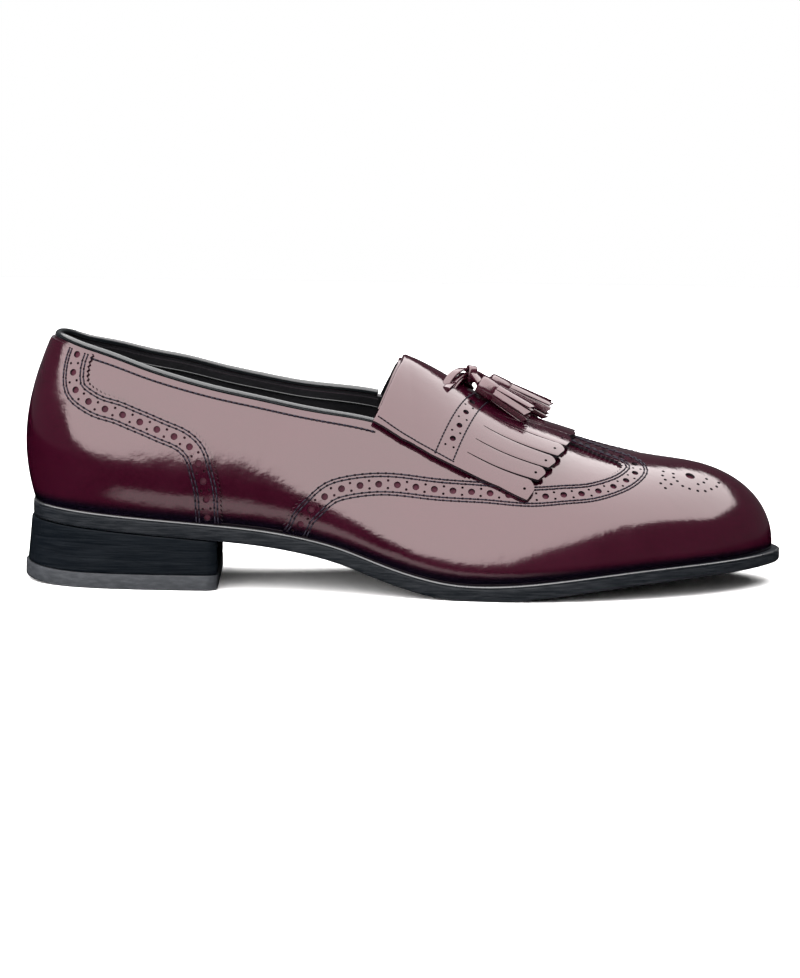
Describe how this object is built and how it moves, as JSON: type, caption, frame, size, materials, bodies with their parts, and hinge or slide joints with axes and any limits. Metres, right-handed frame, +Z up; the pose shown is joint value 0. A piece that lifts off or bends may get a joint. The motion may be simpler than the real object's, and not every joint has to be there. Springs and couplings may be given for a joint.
{
  "type": "kiltie tassel loafer",
  "caption": "Right kiltie tassel loafer with a wing-tip toe, fringed kiltie, tassels on a thong, leather sole and stacked heel.",
  "frame": {"origin": "under the middle of the shoe's box, on the floor that the heel and forefoot stand on", "axes": "+X to the toe, -Y to the outer (lateral) side, +Z up"},
  "size_m": [0.3052, 0.1042, 0.1008],
  "materials": {
    "upper_leather": "polished burgundy",
    "lining_leather": "dull black",
    "binding_leather": "smooth black",
    "sole_leather": "black edge dressing",
    "lift_rubber": "matt dark grey"
  },
  "bodies": {
    "root": {"upper": "upper_leather", "toe_wing": "upper_leather", "heel_counter": "upper_leather", "kiltie": "upper_leather", "thong": "upper_leather", "tassel_outer": "upper_leather", "tassel_inner": "upper_leather", "tongue": "lining_leather", "insole": "lining_leather", "collar_binding": "binding_leather", "outsole": "sole_leather", "heel_block": "sole_leather", "top_lift": "lift_rubber"}
  },
  "joints": []
}
